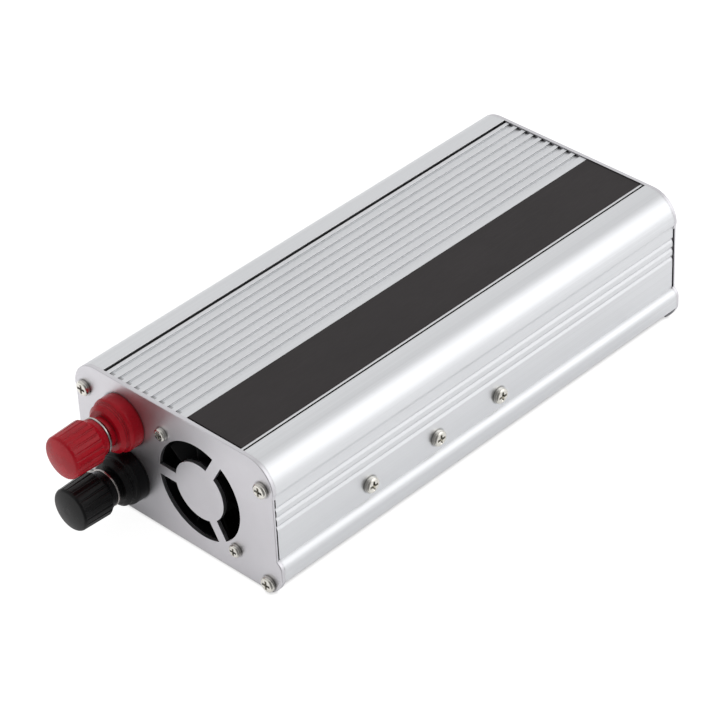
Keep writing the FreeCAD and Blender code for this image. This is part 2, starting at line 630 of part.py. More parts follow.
def post_stud():
    """The threaded stud with its wire hole, from inside the case to the end of its thread."""
    profile = [(0, STUD_INSIDE), (STUD_R - 0.5, STUD_INSIDE), (STUD_R, STUD_INSIDE + 0.5)]
    for start, end in ((STUD_INSIDE + 1.0, -PLATE - 3.6), (POST_BOSS_END + 0.6, STUD_END - 1.5)):
        height = start
        profile.append((STUD_R, height))
        while height < end:
            profile += [(STUD_R - THREAD_DEEP, height + POST_PITCH / 2), (STUD_R, height + POST_PITCH)]
            height += POST_PITCH
    profile += [(STUD_R, STUD_END - 0.6), (STUD_R - 0.6, STUD_END), (0, STUD_END)]
    return turned(profile).cut(rod(WIRE_HOLE_R, V(-5, 0, WIRE_HOLE_AT), V(5, 0, WIRE_HOLE_AT)))


def make_post(colour, side):
    """One binding post with everything that holds it, and its cable. side is the lug's way out in x."""
    z = POST_ZS[colour]
    out = POST_OPEN[colour]
    save(f"{colour}_post_collar", post_aim(post_collar(), z))
    save(f"{colour}_post_stud", post_aim(post_stud(), z))
    washer = Part.makeCylinder(WASHER_R, WASHER_T, V(0, 0, WASHER_AT))
    washer = washer.cut(Part.makeCylinder(STUD_R + THREAD_GAP, WASHER_T, V(0, 0, WASHER_AT)))
    rims = [e for e in washer.Edges if e.BoundBox.XMax > WASHER_R - 1e-3 and e.Closed]
    save(f"{colour}_post_washer", post_aim(washer.makeFillet(0.25, rims), z, out))
    save(f"{colour}_post_cap", post_aim(post_cap(), z, out))
    insert = Part.makeCylinder(INSERT_R, INSERT_DEEP, V(0, 0, CAP_FOOT))
    insert = insert.cut(Part.makeCylinder(STUD_R + THREAD_GAP, INSERT_DEEP, V(0, 0, CAP_FOOT)))
    save(f"{colour}_cap_insert", post_aim(insert, z, out))
    lug_y = -HALF + INSULATOR_T
    nut_y = lug_y + LUG_T
    insulator = y_tube(INSULATOR_R, STUD_R, POST_X, z, -HALF, lug_y)
    nut = aimed(hex_nut(POST_NUT_AF, POST_NUT_T, STUD_R), V(POST_X, nut_y, z), Y_AXIS)
    lug_x = POST_X + side * LUG_REACH
    ring = y_tube(LUG_RING_R, STUD_R, POST_X, z, lug_y, nut_y)
    x0, x1 = sorted((POST_X + side * LUG_TAIL_FROM, lug_x))
    tail = box(x0, x1, lug_y, nut_y, z - LUG_TAIL_W / 2, z + LUG_TAIL_W / 2)
    bore_r = CABLE_R + 0.05
    barrel = y_tube(LUG_BARREL_R, bore_r, lug_x, z, lug_y, nut_y + LUG_BARREL_L)
    lug = ring.fuse([tail.cut(y_rod(bore_r, lug_x, z, lug_y, nut_y)), barrel]).removeSplitter()
    return insulator, nut, lug, lug_x, z


def make_posts():
    insulators, nuts, lugs = [], [], []
    landings = {"red": V(-33.2, -69.0, BOARD_TOP + 19.0), "black": V(-13.2, -72.0, BOARD_TOP + 4.8)}
    for colour, side in (("red", -1), ("black", 1)):
        insulator, nut, lug, lug_x, z = make_post(colour, side)
        insulators.append(insulator)
        nuts.append(nut)
        lugs.append(lug)
        start = V(lug_x, -HALF + INSULATOR_T + LUG_T / 2, z)
        save(f"{colour}_battery_cable", cable(CABLE_R, 9.0, [start, landings[colour]], Y_AXIS, Y_AXIS))
    save("post_insulators", *insulators)
    save("post_nuts", *nuts)
    save("cable_lugs", *lugs)
    tabs = []
    for end in landings.values():
        x0 = end.x - TAB_W / 2
        tabs.append(box(x0, x0 + TAB_W, end.y, end.y + TAB_THICK, BOARD_TOP, end.z + 3.0))
    save("input_tabs", *tabs)


# ---- Outlet end ---------------------------------------------------------------------------------

BEZEL_T = 2.2
SOCKET_DEEP = 17.0
SWITCH_OPEN_X, SWITCH_OPEN_Z = 6.6, 9.8
SWITCH_BEZEL_X, SWITCH_BEZEL_Z = 7.6, 10.6
USB_W, USB_H, USB_DEEP = 13.1, 5.9, 14.0
LED_R = 2.45
CONTACT_DEEP = 11.0
CONTACT_ROOM = 1.2  # half width of each contact opening's slots
CONTACT_LEAF_T, CONTACT_LEAF_L, CONTACT_LEAF_H = 0.5, 7.5, 4.4
PIN_X, PIN_LOW, PIN_HIGH = 8.6, 3.0, 9.0  # the three openings, from the socket's centre
TERMINAL_W, TERMINAL_T, TERMINAL_OUT = 4.8, 0.8, 6.0
ROCKER_HALF_X, ROCKER_PIN_R = 5.1, 1.25
SWITCH_DEEP, WELL_DEEP = 12.0, 9.0
SWITCH_TERMINAL_ZS = (-5.5, 5.5)


def socket_cavity(x, z, spread, height):
    """A multi-standard contact opening: an upright slot, a level slot and a round hole in one."""
    y0, y1 = AC_FACE + BEZEL_T - CONTACT_DEEP, AC_FACE + BEZEL_T
    upright = box(x - CONTACT_ROOM, x + CONTACT_ROOM, y0, y1, z - height / 2, z + height / 2)
    level = box(x - spread / 2, x + spread / 2, y0, y1, z - CONTACT_ROOM, z + CONTACT_ROOM)
    return y_rod(2.5, x, z, y0, y1).fuse([upright, level]).removeSplitter()


def socket_openings():
    """x, z, width and height of each contact opening."""
    low = SOCKET_Z - PIN_LOW
    return [(SOCKET_X - PIN_X, low, 7.0, 9.0), (SOCKET_X + PIN_X, low, 7.0, 9.0),
            (SOCKET_X, SOCKET_Z + PIN_HIGH, 6.4, 8.0)]


def terminal(x, z, y0, y1, spare=0.0):
    """A flat terminal tab lying level. spare lengthens it at the back, for cutting its slot."""
    half_w, half_t = TERMINAL_W / 2, TERMINAL_T / 2
    return box(x - half_w, x + half_w, y0 - spare, y1, z - half_t, z + half_t)


def make_socket():
    half = SOCKET_SIZE / 2
    inner = half - 2.0
    y_back = AC_FACE - SOCKET_DEEP
    bezel = rounded_box(SOCKET_X - half, SOCKET_X + half, AC_FACE, AC_FACE + BEZEL_T,
                        SOCKET_Z - half, SOCKET_Z + half, 3.5)
    front = [e for e in bezel.Edges if e.BoundBox.YMin > AC_FACE + BEZEL_T - 1e-3]
    bezel = bezel.makeChamfer(0.7, front)
    body = rounded_box(SOCKET_X - inner, SOCKET_X + inner, y_back, AC_FACE,
                       SOCKET_Z - inner, SOCKET_Z + inner, 2.0)
    solid = bezel.fuse(body)
    dish = y_rod(15.6, SOCKET_X, SOCKET_Z, AC_FACE + BEZEL_T - 0.8, AC_FACE + BEZEL_T)
    solid = solid.cut(dish)
    contacts = []
    for x, z, spread, height in socket_openings():
        cavity = socket_cavity(x, z, spread, height)
        solid = solid.cut(cavity)
        y0 = AC_FACE + BEZEL_T - CONTACT_DEEP
        z0, z1 = z - CONTACT_LEAF_H / 2, z + CONTACT_LEAF_H / 2
        clip = box(x - CONTACT_ROOM, x + CONTACT_ROOM, y0, y0 + CONTACT_LEAF_L, z0, z1)
        grip = CONTACT_ROOM - CONTACT_LEAF_T
        clip = clip.cut(box(x - grip, x + grip, y0 + 0.6, y0 + CONTACT_LEAF_L, z0, z1))
        tab = terminal(x, z, y_back - TERMINAL_OUT, y0)
        solid = solid.cut(terminal(x, z, y_back, y0, 1.0))
        contacts.append(clip.fuse(tab).removeSplitter())
    save("socket_body", solid.removeSplitter())
    save("socket_contacts", *contacts)


def rocker_block():
    """The rocker, level, with its pivot on the X axis: a dished top and two ends raked to swing clear."""
    half_x, reach, low, top = ROCKER_HALF_X, 8.4, -2.2, 6.9
    rake = math.tan(math.radians(SWITCH_TILT))
    widest = reach / math.cos(math.radians(SWITCH_TILT))
    top_z, low_z = widest - top * rake, widest + low * rake
    corners = [V(-half_x, low, low_z), V(-half_x, 0, widest), V(-half_x, top, top_z)]
    dish = Part.Arc(corners[2], V(-half_x, top - 1.4, 0), V(-half_x, top, -top_z)).toShape()
    far_side = [V(c.x, c.y, -c.z) for c in reversed(corners)]
    profile = Part.Wire([Part.makeLine(corners[0], corners[1]), Part.makeLine(corners[1], corners[2]), dish,
                         Part.makeLine(far_side[0], far_side[1]), Part.makeLine(far_side[1], far_side[2]),
                         Part.makeLine(far_side[2], corners[0])])
    block = Part.Face(profile).extrude(V(2 * half_x, 0, 0))
    pin = rod(ROCKER_PIN_R, V(-6.0, 0, 0), V(6.0, 0, 0))
    return block.fuse(pin).removeSplitter()


def make_switch():
    """A rocker switch: bezel and well, the rocker that tips in it, and two terminals behind."""
    y_face = AC_FACE + 1.6
    y_back = AC_FACE - SWITCH_DEEP
    well_floor = AC_FACE - WELL_DEEP
    pivot = V(SWITCH_X, AC_FACE - 3.0, SWITCH_Z)
    bezel = rounded_box(SWITCH_X - SWITCH_BEZEL_X, SWITCH_X + SWITCH_BEZEL_X, AC_FACE, y_face,
                        SWITCH_Z - SWITCH_BEZEL_Z, SWITCH_Z + SWITCH_BEZEL_Z, 1.4)
    front = [e for e in bezel.Edges if e.BoundBox.YMin > y_face - 1e-3]
    bezel = bezel.makeChamfer(0.5, front)
    body = box(SWITCH_X - SWITCH_OPEN_X + 0.1, SWITCH_X + SWITCH_OPEN_X - 0.1, y_back, AC_FACE,
               SWITCH_Z - SWITCH_OPEN_Z + 0.1, SWITCH_Z + SWITCH_OPEN_Z - 0.1)
    well_x = ROCKER_HALF_X + 0.2
    well = box(SWITCH_X - well_x, SWITCH_X + well_x, well_floor, y_face, SWITCH_Z - 8.6, SWITCH_Z + 8.6)
    solid = bezel.fuse(body).cut(well)
    solid = solid.cut(rod(ROCKER_PIN_R + 0.05, pivot - X_AXIS * 6.1, pivot + X_AXIS * 6.1))
    tabs = []
    for dz in SWITCH_TERMINAL_ZS:
        tab = terminal(SWITCH_X, SWITCH_Z + dz, y_back - TERMINAL_OUT, well_floor)
        solid = solid.cut(tab)
        tabs.append(tab)
    save("switch_body", solid.removeSplitter())
    save("switch_terminals", *tabs)
    rocker = rocker_block()
    rocker.rotate(V(0, 0, 0), X_AXIS, -SWITCH_TILT)
    rocker.translate(pivot)
    save("switch_rocker", rocker)


def make_usb_and_lights():
    """USB port, two lights, and the small board that carries them."""
    y0, y1 = AC_FACE + 0.3 - USB_DEEP, AC_FACE + 0.3
    shell = box(USB_X - USB_W / 2, USB_X + USB_W / 2, y0, y1, USB_Z - USB_H / 2, USB_Z + USB_H / 2)
    shell = shell.cut(box(USB_X - USB_W / 2 + 0.4, USB_X + USB_W / 2 - 0.4, y0, y1,
                          USB_Z - USB_H / 2 + 0.4, USB_Z + USB_H / 2 - 0.4))
    save("usb_shell", shell)
    back = box(USB_X - USB_W / 2 + 0.4, USB_X + USB_W / 2 - 0.4, y0, y0 + 4.0,
               USB_Z - USB_H / 2 + 0.4, USB_Z + USB_H / 2 - 0.4)
    tongue = box(USB_X - 5.4, USB_X + 5.4, y0 + 4.0, y1 - 1.2, USB_Z + 0.3, USB_Z + 1.9)
    save("usb_tongue", back.fuse(tongue).removeSplitter())
    contacts = [box(USB_X + dx - 0.5, USB_X + dx + 0.5, y0 + 4.0, y1 - 2.2, USB_Z + 0.1, USB_Z + 0.3)
                for dx in (-3.5, -1.0, 1.0, 3.5)]
    save("usb_contacts", *contacts)
    board_y = HALF - 3.4
    dome_y = AC_FACE + 1.6 - LED_R
    for name, x in LED_XS.items():
        lamp = y_rod(LED_R, x, LED_Z, board_y, dome_y)
        lamp = lamp.fuse(Part.makeSphere(LED_R, V(x, dome_y, LED_Z)))
        save(name, lamp.fuse(y_rod(LED_R + 0.5, x, LED_Z, board_y, board_y + 1.0)).removeSplitter())
    board = box(USB_X - 8.5, USB_X + 8.5, board_y - 1.2, board_y, USB_Z - 7.0, LED_Z + 4.0)
    board = board.cut(box(USB_X - USB_W / 2 - 0.2, USB_X + USB_W / 2 + 0.2, board_y - 2, board_y + 1,
                          USB_Z - USB_H / 2 - 0.2, USB_Z + USB_H / 2 + 0.2))
    save("indicator_board", board)


# ---- Main board ---------------------------------------------------------------------------------


def make_board():
    save("main_board", box(-PCB_X, PCB_X, *PCB_YS, PCB_Z, BOARD_TOP))


def make_capacitors():
    """Input smoothing capacitors in sleeves, and two high-voltage ones further back."""
    can = turned([(0, 0), (7.4, 0), (8.0, 0.6), (8.0, 2.2), (7.5, 2.7), (8.0, 3.2), (8.0, 24.4),
                  (7.4, 25.0), (0, 25.0)])
    vent = box(-5.0, 5.0, -0.25, 0.25, 24.7, 25.5).fuse(box(-0.25, 0.25, -5.0, 5.0, 24.7, 25.5))
    can = can.cut(vent)
    cans = []
    for x in (-25.4, -8.6, 8.6, 25.4):
        can_here = can.copy()
        can_here.translate(V(x, -57.0, BOARD_TOP))
        cans.append(can_here)
    save("input_capacitors", *cans)
    tall = turned([(0, 0), (10.4, 0), (11.0, 0.6), (11.0, 2.4), (10.4, 3.0), (11.0, 3.6), (11.0, 31.4),
                   (10.4, 32.0), (0, 32.0)])
    tall = tall.cut(box(-7.0, 7.0, -0.3, 0.3, 31.6, 33).fuse(box(-0.3, 0.3, -7.0, 7.0, 31.6, 33)))
    tanks = []
    for x in (-13.0, 13.0):
        tank = tall.copy()
        tank.translate(V(x, 16.0, BOARD_TOP))
        tanks.append(tank)
    save("bus_capacitors", *tanks)


def make_transformers():
    """Two step-up transformers: ferrite cores through taped windings that stand on the board."""
    cores, windings = [], []
    centre_y = -23.0
    core_z = BOARD_TOP + 5.0
    for x in (-16.5, 16.5):
        y0, y1 = centre_y - 6.0, centre_y + 6.0
        core = box(x - 14.5, x + 14.5, y0, y1, core_z, core_z + 26.0)
        window = box(x - 10.0, x + 10.0, y0, y1, core_z + 4.5, core_z + 21.5)
        leg = box(x - 4.5, x + 4.5, y0, y1, core_z + 4.5, core_z + 21.5)
        cores.append(core.cut(window).fuse(leg).removeSplitter())
        coil = upright_rounded(x - 9.4, x + 9.4, centre_y - 11.0, centre_y + 11.0,
                               core_z + 5.8, core_z + 20.2, 3.0)
        for low in (core_z + 4.6, core_z + 20.2):
            coil = coil.fuse(box(x - 9.8, x + 9.8, centre_y - 11.5, centre_y + 11.5, low, low + 1.2))
        for side in (-1, 1):
            foot_y = centre_y + side * 9.5
            coil = coil.fuse(box(x - 9.8, x + 9.8, foot_y - 2.0, foot_y + 2.0, BOARD_TOP, core_z + 4.6))
        coil = coil.cut(box(x - 4.6, x + 4.6, centre_y - 6.1, centre_y + 6.1, core_z, core_z + 26))
        windings.append(coil.removeSplitter())
    save("transformer_cores", *cores)
    save("transformer_windings", *windings)


def make_output_filter():
    """Toroidal choke and the box film capacitors beside it."""
    x, y, z = -20.0, 47.0, BOARD_TOP + 0.9
    core = Part.makeCylinder(11.0, 9.0, V(x, y, z)).cut(Part.makeCylinder(6.0, 9.0, V(x, y, z)))
    save("choke_core", core)
    turns = []
    for k in range(18):
        loop = box(5.2, 11.8, -0.7, 0.7, -0.8, 9.8).cut(box(6.0, 11.0, -0.7, 0.7, 0, 9.0))
        loop.rotate(V(0, 0, 0), Z_AXIS, 20 * k)
        loop.translate(V(x, y, z))
        loop = loop.cut(core)
        turns.append(loop)
    save("choke_winding", *turns)
    films = []
    for px, py in ((7.0, 38.0), (7.0, 49.0)):
        films.append(upright_rounded(px - 9.0, px + 9.0, py - 4.2, py + 4.2,
                                     BOARD_TOP, BOARD_TOP + 15.0, 0.8))
    save("film_capacitors", *films)


def make_control_parts():
    """Control chips with their legs, the alarm buzzer and three soldered blade fuses."""
    chips = []
    for x, y in ((28.0, 36.0), (28.0, 50.0), (-4.0, 62.0)):
        z = BOARD_TOP + 1.0
        chip = box(x - 3.2, x + 3.2, y - 4.8, y + 4.8, z, z + 3.3)
        for k in range(4):
            leg_y = y - 3.81 + 2.54 * k
            chip = chip.fuse(box(x - 3.8, x + 3.8, leg_y - 0.3, leg_y + 0.3, z + 1.2, z + 1.6))
            for leg_x in (x - 3.6, x + 3.6):
                chip = chip.fuse(box(leg_x - 0.2, leg_x + 0.2, leg_y - 0.3, leg_y + 0.3, BOARD_TOP, z + 1.6))
        chips.append(chip.removeSplitter())
    save("control_chips", *chips)
    buzzer = Part.makeCylinder(6.0, 8.5, V(-30.0, 64.0, BOARD_TOP))
    save("buzzer", buzzer.cut(Part.makeCylinder(1.0, 2.0, V(-30.0, 64.0, BOARD_TOP + 7.0))))
    fuses = []
    for x in (0.0, 9.0, 18.0):
        y, z = -76.0, BOARD_TOP
        fuse = box(x - 1.9, x + 1.9, y - 5.5, y + 5.5, z + 2.5, z + 11.0)
        fuse = fuse.fuse(box(x - 2.2, x + 2.2, y - 6.2, y + 6.2, z + 8.0, z + 12.0))
        for side in (-1, 1):
            blade_y = y + side * 4.0
            fuse = fuse.fuse(box(x - 0.4, x + 0.4, blade_y - 1.2, blade_y + 1.2, z, z + 2.5))
        fuses.append(fuse.removeSplitter())
    save("fuses", *fuses)


def make_inner_wires():
    """Wires from the board to the socket and to the switch."""
    wires = []
    back = AC_FACE - SOCKET_DEEP - TERMINAL_OUT
    for x, z, _, _ in socket_openings()[:2]:
        start = V(x, 66.0, BOARD_TOP)
        middle = V(x, 69.0, (BOARD_TOP + z) / 2)
        wires.append(cable(1.1, 0.8, [start, middle, V(x, back, z)], Z_AXIS, Y_AXIS))
    back = AC_FACE - SWITCH_DEEP - TERMINAL_OUT
    for k, dz in enumerate(SWITCH_TERMINAL_ZS):
        start = V(SWITCH_X + 12.0 + 3.0 * k, 68.0, BOARD_TOP)
        middle = V(SWITCH_X + 8.0 + 2 * k, 72.5, 17.0 + 5 * k)
        wires.append(cable(0.8, 0.8, [start, middle, V(SWITCH_X, back, SWITCH_Z + dz)], Z_AXIS, Y_AXIS))
    save("outlet_wires", *wires)


def main():
    os.makedirs("parts", exist_ok=True)
    make_housing()
    make_lid()
    make_dc_plate()
    make_ac_plate()
    make_plate_screws()
    make_heat_clamps()
    make_transistors()
    make_fan_frame()
    make_fan_stator()
    make_fan_rotor()
    make_fan_screws_and_nuts()
    make_fan_cable()
    make_posts()
    make_socket()
    make_switch()
    make_usb_and_lights()
    make_board()
    make_capacitors()
    make_transformers()
    make_output_filter()
    make_control_parts()
    make_inner_wires()


main()
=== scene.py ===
"""Looks of the power inverter: a procedural finish for every CAD node, a white studio and the camera."""

import json
import math

import bpy
from mathutils import Matrix, Vector


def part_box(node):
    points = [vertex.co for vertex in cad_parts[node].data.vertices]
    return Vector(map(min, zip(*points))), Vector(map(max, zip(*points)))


MM = 0.001

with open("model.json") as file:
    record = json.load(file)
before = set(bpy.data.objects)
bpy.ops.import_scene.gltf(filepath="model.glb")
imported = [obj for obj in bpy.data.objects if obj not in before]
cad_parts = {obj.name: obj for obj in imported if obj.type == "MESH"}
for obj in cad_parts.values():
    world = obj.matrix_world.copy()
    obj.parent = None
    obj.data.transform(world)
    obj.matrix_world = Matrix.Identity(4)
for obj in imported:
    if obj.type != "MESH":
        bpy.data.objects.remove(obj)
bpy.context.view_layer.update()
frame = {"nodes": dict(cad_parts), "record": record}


# ---- Shader nodes -------------------------------------------------------------------------------

MIX_A, MIX_B = 6, 7  # the Mix node's colour sockets, whose names its number sockets share


class Nodes:
    """A shader tree being built. A value is a number, a colour, a vector or another node's socket."""

    def __init__(self, tree):
        self.tree = tree

    def node(self, kind, **settings):
        made = self.tree.nodes.new("ShaderNode" + kind)
        for key, value in settings.items():
            setattr(made, key, value)
        return made

    def feed(self, socket, value):
        if isinstance(value, bpy.types.NodeSocket):
            self.tree.links.new(value, socket)
        elif socket.type == "RGBA" and len(value) == 3:
            socket.default_value = (*value, 1.0)
        else:
            socket.default_value = value

    def calc(self, operation, a, b=0.0, clamp=False):
        made = self.node("Math", operation=operation, use_clamp=clamp)
        self.feed(made.inputs[0], a)
        self.feed(made.inputs[1], b)
        return made.outputs[0]

    def dot(self, a, b):
        made = self.node("VectorMath", operation="DOT_PRODUCT")
        self.feed(made.inputs[0], a)
        self.feed(made.inputs[1], b)
        return made.outputs["Value"]

    def span(self, value, low, high, to_low=0.0, to_high=1.0, **settings):
        """value remapped from low..high to to_low..to_high, and held at both ends."""
        made = self.node("MapRange", **settings)
        for index, number in enumerate((value, low, high, to_low, to_high)):
            self.feed(made.inputs[index], number)
        return made.outputs[0]

    def mix(self, share, a, b):
        made = self.node("Mix", data_type="RGBA")
        self.feed(made.inputs["Factor"], share)
        self.feed(made.inputs[MIX_A], a)
        self.feed(made.inputs[MIX_B], b)
        return made.outputs[2]


class Look(Nodes):
    """A Principled material being built. Lengths are in metres and in the part's own frame."""

    def __init__(self, name, roughness, metallic=0.0, **inputs):
        self.material = bpy.data.materials.new(name)
        self.material.use_nodes = True
        super().__init__(self.material.node_tree)
        self.bsdf = self.tree.nodes["Principled BSDF"]
        self.place = self.node("TexCoord").outputs["Object"]
        self.set("Roughness", roughness)
        self.set("Metallic", metallic)
        for key, value in inputs.items():
            self.set(key.replace("_", " "), value)

    def set(self, name, value):
        self.feed(self.bsdf.inputs[name], value)

    def axis(self, name):
        made = self.node("SeparateXYZ")
        self.feed(made.inputs[0], self.place)
        return made.outputs[name]

    def noise(self, size, stretch=(1, 1, 1), detail=3.0, rough=0.55):
        """Noise with features about size metres across. A stretch below 1 draws them out that way."""
        stretched = self.node("Mapping")
        self.feed(stretched.inputs["Vector"], self.place)
        self.feed(stretched.inputs["Scale"], stretch)
        made = self.node("TexNoise")
        self.feed(made.inputs["Vector"], stretched.outputs["Vector"])
        self.feed(made.inputs["Scale"], 1.0 / size)
        self.feed(made.inputs["Detail"], detail)
        self.feed(made.inputs["Roughness"], rough)
        return made.outputs["Fac"]

    def cells(self, size):
        """Distance to the nearest of points scattered about size metres apart."""
        made = self.node("TexVoronoi")
        self.feed(made.inputs["Vector"], self.place)
        self.feed(made.inputs["Scale"], 1.0 / size)
        return made.outputs["Distance"]

    def rounded_normal(self, radius):
        made = self.node("Bevel", samples=6)
        self.feed(made.inputs["Radius"], radius)
        return made.outputs["Normal"]

    def edge_mask(self, radius):
        """1 along sharp edges and 0 on the faces between them."""
        gain = 3.0
        straight = self.node("NewGeometry").outputs["Normal"]
        bend = self.calc("SUBTRACT", 1.0, self.dot(self.rounded_normal(radius), straight))
        return self.calc("MULTIPLY", bend, gain, clamp=True)

    def openness(self, reach, samples=16):
        """1 in the open, falling toward 0 where something stands closer than reach."""
        made = self.node("AmbientOcclusion", samples=samples)
        self.feed(made.inputs["Distance"], reach)
        return made.outputs["AO"]

    def crevice_shade(self, reach, darkest=0.12):
        """Painted shade: 1 on open faces, falling to darkest in seams and inner corners narrower than
        about reach.
        """
        return self.span(self.openness(reach), 0.3, 0.85, darkest, 1.0)

    def shade(self, color, factor):
        """color darkened by factor, which is 1 for no change."""
        return self.mix(factor, (0.0, 0.0, 0.0), color)

    def stain(self, mask, color):
        """Lays color over the base colour built so far, where mask is 1."""
        plain = self.bsdf.inputs["Base Color"].links[0].from_socket
        self.set("Base Color", self.mix(mask, plain, color))

    def bump(self, height, depth, under=None):
        """Adds relief depth metres high. Bumps stack: under is the normal they start from."""
        made = self.node("Bump")
        self.feed(made.inputs["Strength"], 1.0)
        self.feed(made.inputs["Distance"], depth)
        self.feed(made.inputs["Height"], height)
        if under is not None:
            self.feed(made.inputs["Normal"], under)
        self.set("Normal", made.outputs["Normal"])
        return made.outputs["Normal"]


# ---- Finishes -----------------------------------------------------------------------------------


def scaled(color, factor):
    return tuple(channel * factor for channel in color)


def extruded(name, color, roughness):
    """Satin anodised extrusion: die lines along Y over a soft blasted grain, paler on worn edges."""
    look = Look(name, roughness, 1.0)
    fine_lines = look.noise(0.35 * MM, (1, 0.002, 1), 4)
    broad_lines = look.noise(2.2 * MM, (1, 0.004, 1), 3)
    cloud = look.noise(35 * MM, (1, 0.4, 1), 2)
    grain = look.noise(0.09 * MM, detail=1)
    worn = look.edge_mask(0.35 * MM)
    tone = look.mix(look.span(fine_lines, 0.3, 0.7), scaled(color, 0.94), scaled(color, 1.04))
    tone = look.mix(look.span(broad_lines, 0.4, 0.7, 0, 0.6), tone, scaled(color, 0.95))
    tone = look.mix(look.span(cloud, 0.35, 0.65, 0, 0.5), tone, scaled(color, 0.965))
    tone = look.mix(worn, tone, (0.9, 0.9, 0.9))
    # painted shade: the base colour darkens in seams, grooves and inner corners
    look.set("Base Color", look.shade(tone, look.crevice_shade(1.3 * MM)))
    rough = look.span(fine_lines, 0.3, 0.7, roughness - 0.04, roughness + 0.05)
    look.set("Roughness", look.calc("ADD", rough, look.span(cloud, 0.3, 0.7, -0.02, 0.03)))
    under = look.bump(fine_lines, 0.010 * MM, look.rounded_normal(0.32 * MM))
    look.bump(grain, 0.004 * MM, under)
    return look


def sheet(name, color, roughness):
    """Rolled and blasted sheet metal, with its sheared edges bright."""
    look = Look(name, roughness, 1.0)
    blast = look.noise(0.12 * MM, detail=2)
    cloud = look.noise(22 * MM, detail=3)
    worn = look.edge_mask(0.25 * MM)
    tone = look.mix(look.span(cloud, 0.35, 0.65), scaled(color, 0.965), scaled(color, 1.03))
    tone = look.mix(worn, tone, (0.92, 0.92, 0.93))
    # painted shade: the base colour darkens in seams and inner corners
    look.set("Base Color", look.shade(tone, look.crevice_shade(1.3 * MM)))
    look.set("Roughness", look.span(blast, 0.3, 0.7, roughness - 0.05, roughness + 0.05))
    look.bump(blast, 0.006 * MM, look.rounded_normal(0.15 * MM))
    return look


def plated(name, color, roughness):
    """Nickel or tin plate: bright, with faint pooling and fine handling scratches."""
    look = Look(name, roughness, 1.0)
    pool = look.noise(1.6 * MM, detail=3)
    scratch = look.noise(0.5 * MM, (1, 1, 0.05), 2)
    tone = look.mix(look.span(pool, 0.35, 0.7), color, scaled(color, 0.82))
    # painted shade: the base colour darkens in recesses and inner corners
    look.set("Base Color", look.shade(tone, look.crevice_shade(0.7 * MM, 0.3)))
    rough = look.span(pool, 0.3, 0.7, roughness * 0.75, roughness * 1.35)
    look.set("Roughness", look.calc("ADD", rough, look.span(scratch, 0.55, 0.75, 0, 0.12)))
    look.bump(scratch, 0.003 * MM, look.rounded_normal(0.12 * MM))
    return look


def moulded(name, color, roughness, edge=(0.3, 0.3, 0.3), grain=0.25 * MM, depth=0.008 * MM, shine=0.35):
    """Moulded plastic: fine spark texture, faint sheen changes along the flow, and paler rubbed edges."""
    look = Look(name, roughness, Specular_IOR_Level=shine)
    spark = look.noise(grain, detail=3)
    flow = look.noise(7 * MM, (1, 0.6, 1), 3)
    worn = look.edge_mask(0.3 * MM)
    tone = look.mix(look.span(flow, 0.35, 0.65), scaled(color, 0.88), scaled(color, 1.1))
    tone = look.mix(look.calc("MULTIPLY", worn, 0.08), tone, edge)
    # painted shade: the base colour darkens in gaps and inner corners
    look.set("Base Color", look.shade(tone, look.crevice_shade(1.5 * MM, 0.3)))
    rough = look.span(flow, 0.3, 0.7, roughness - 0.05, roughness + 0.06)
    look.set("Roughness", look.calc("ADD", rough, look.span(spark, 0.3, 0.7, -0.03, 0.03)))
    look.bump(spark, depth, look.rounded_normal(0.22 * MM))
    return look


def film(name, color, roughness):
    """The matte film strip: a faint weave of roller marks, dust, and hairline scuffs along its length."""
    look = Look(name, roughness, Specular_IOR_Level=0.3)
    roller = look.noise(0.25 * MM, (1, 0.05, 1), 3)
    cloud = look.noise(18 * MM, (1, 0.5, 1), 3)
    dust = look.cells(2.3 * MM)
    scuff = look.noise(1.4 * MM, (1, 0.02, 1), 2)
    tone = look.mix(look.span(cloud, 0.35, 0.65), scaled(color, 0.92), scaled(color, 1.1))
    tone = look.mix(look.span(scuff, 0.66, 0.8, 0, 0.25), tone, scaled(color, 2.2))
    look.set("Base Color", look.mix(look.span(dust, 0.0, 0.035, 0.35, 0), tone, (0.3, 0.3, 0.3)))
    look.set("Roughness", look.span(roller, 0.3, 0.7, roughness - 0.04, roughness + 0.05))
    look.bump(roller, 0.006 * MM, look.rounded_normal(0.1 * MM))
    return look


def spun_metal(name, color, roughness):
    """Plain machined or drawn metal with a little staining."""
    look = Look(name, roughness, 1.0)
    stain = look.noise(3 * MM, detail=4)
    tool = look.noise(0.18 * MM, (1, 0.2, 1), 2)
    look.set("Base Color", look.mix(look.span(stain, 0.4, 0.7), color, scaled(color, 0.68)))
    look.set("Roughness", look.span(tool, 0.3, 0.7, roughness - 0.06, roughness + 0.08))
    look.bump(tool, 0.008 * MM, look.rounded_normal(0.1 * MM))
    return look


def board(name, color):
    """Solder mask over copper tracks, with tinned pads."""
    look = Look(name, 0.35)
    bricks = look.node("TexBrick", offset=0.37, squash=0.7)
    look.feed(bricks.inputs["Vector"], look.place)
    look.feed(bricks.inputs["Scale"], 1 / (9 * MM))
    look.feed(bricks.inputs["Mortar Size"], 0.05)
    tracks = bricks.outputs["Fac"]
    pads = look.cells(4.2 * MM)
    tone = look.mix(tracks, scaled(color, 1.7), color)
    look.set("Base Color", look.mix(look.span(pads, 0.1, 0.14, 1, 0), tone, (0.6, 0.6, 0.58)))
    look.set("Metallic", look.span(pads, 0.1, 0.14, 0.9, 0))
    look.bump(tracks, 0.03 * MM)
    return look


